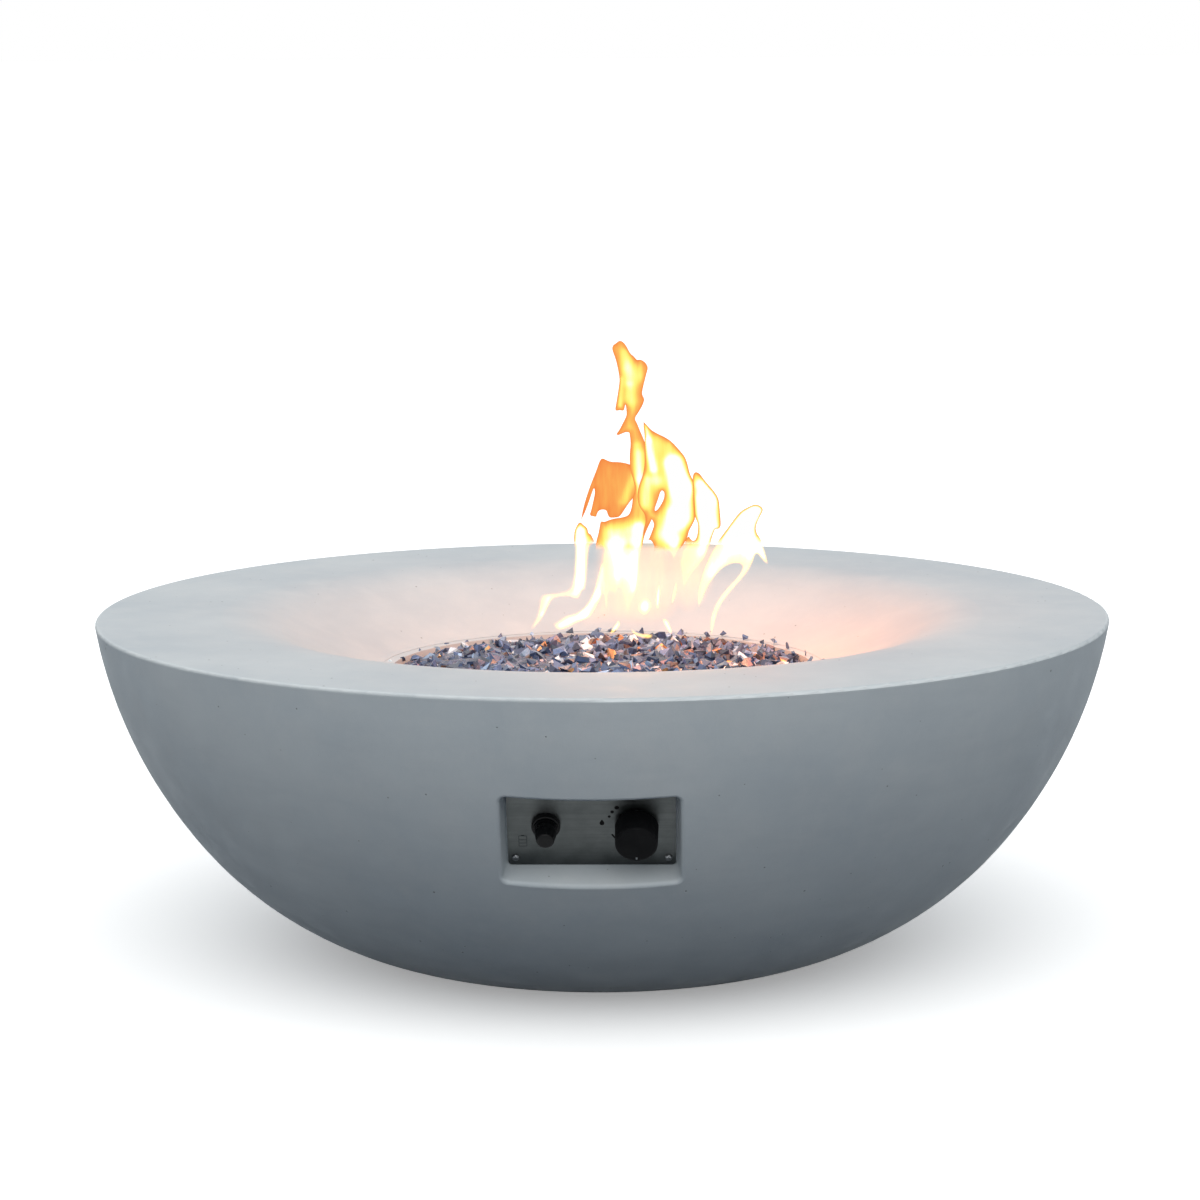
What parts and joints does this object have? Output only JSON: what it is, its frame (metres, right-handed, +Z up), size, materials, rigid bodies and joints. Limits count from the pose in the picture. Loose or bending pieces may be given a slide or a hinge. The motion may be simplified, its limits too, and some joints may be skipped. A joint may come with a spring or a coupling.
{
  "type": "gas fire bowl",
  "caption": "Wide round free-standing concrete gas fire bowl with a flat rim, dished basin of fire glass, ring burner, and a recessed control plate with knob and push-button igniter.",
  "frame": {"origin": "centre of the base ring, on the ground", "axes": "+Z up along the bowl's axis; the control recess faces -Y; +X is to the right seen from the front"},
  "size_m": [1.0658, 1.0658, 0.3569],
  "materials": {
    "concrete": "cast fibre-reinforced concrete, matt, fine pores",
    "stainless": "brushed stainless sheet",
    "heated_steel": "stainless steel, dulled by heat",
    "zinc_steel": "galvanised sheet",
    "screw_steel": "stainless screws",
    "knob_plastic": "black moulded plastic, fine texture",
    "igniter_plastic": "black moulded plastic, satin",
    "valve_alloy": "die-cast alloy",
    "brass": "turned brass",
    "spring_steel": "spring wire",
    "glass": "broken tinted fire glass",
    "ceramic": "white ceramic",
    "hose": "steel-braided rubber hose",
    "copper": "copper capillary",
    "wire": "silicone-insulated lead",
    "cell": "cell with a plain wrap"
  },
  "bodies": {
    "bowl": {"bowl_shell": "concrete", "base_cover": "zinc_steel", "base_cover_screws": "screw_steel", "control_panel": "stainless", "panel_screws": "screw_steel", "valve_screws": "screw_steel", "gas_valve": "valve_alloy", "stem_return_spring": "spring_steel", "igniter_body": "igniter_plastic", "igniter_nut": "igniter_plastic", "igniter_battery": "cell", "igniter_button_spring": "spring_steel", "igniter_contact_spring": "spring_steel", "burner_pan": "heated_steel", "burner_ring": "heated_steel", "burner_lock_nut": "zinc_steel", "air_mixer": "zinc_steel", "orifice_elbow": "brass", "gas_inlet": "brass", "gas_inlet_nut": "brass", "pilot_bracket": "heated_steel", "spark_electrode": "ceramic", "electrode_pin": "heated_steel", "thermocouple": "heated_steel", "bracket_screws": "screw_steel", "pilot_shield": "heated_steel", "fire_glass": "glass", "burner_hose": "hose", "supply_hose": "hose", "thermocouple_lead": "copper", "ignition_wire": "wire", "hose_nuts": "brass", "thermocouple_nut": "brass"},
    "valve_plunger": {"valve_push_rod": "brass"},
    "knob": {"control_knob": "knob_plastic", "valve_stem": "spring_steel"},
    "igniter_push": {"igniter_button": "igniter_plastic"},
    "shutter": {"air_shutter": "zinc_steel"}
  },
  "joints": [
    {"name": "knob_push", "type": "slide", "parent": "bowl", "child": "valve_plunger", "axis": [0, 0.8829, 0.4695], "range_m": [0, 0.004], "stiffness_N_per_m": 1500, "springref_m": -0.002, "deforming": ["stem_return_spring"]},
    {"name": "knob_turn", "type": "hinge", "parent": "valve_plunger", "child": "knob", "pos_m": [0.043, -0.46998, 0.21372], "axis": [0, -0.8829, -0.4695], "range_deg": [-180, 0]},
    {"name": "igniter_press", "type": "slide", "parent": "bowl", "child": "igniter_push", "axis": [0, 0.8829, 0.4695], "range_m": [0, 0.003], "stiffness_N_per_m": 2000, "springref_m": -0.0015, "deforming": ["igniter_button_spring"]},
    {"name": "air_shutter_turn", "type": "hinge", "parent": "bowl", "child": "shutter", "pos_m": [0, 0, 0.18], "axis": [0, 0, 1], "range_deg": [0, 90]}
  ]
}
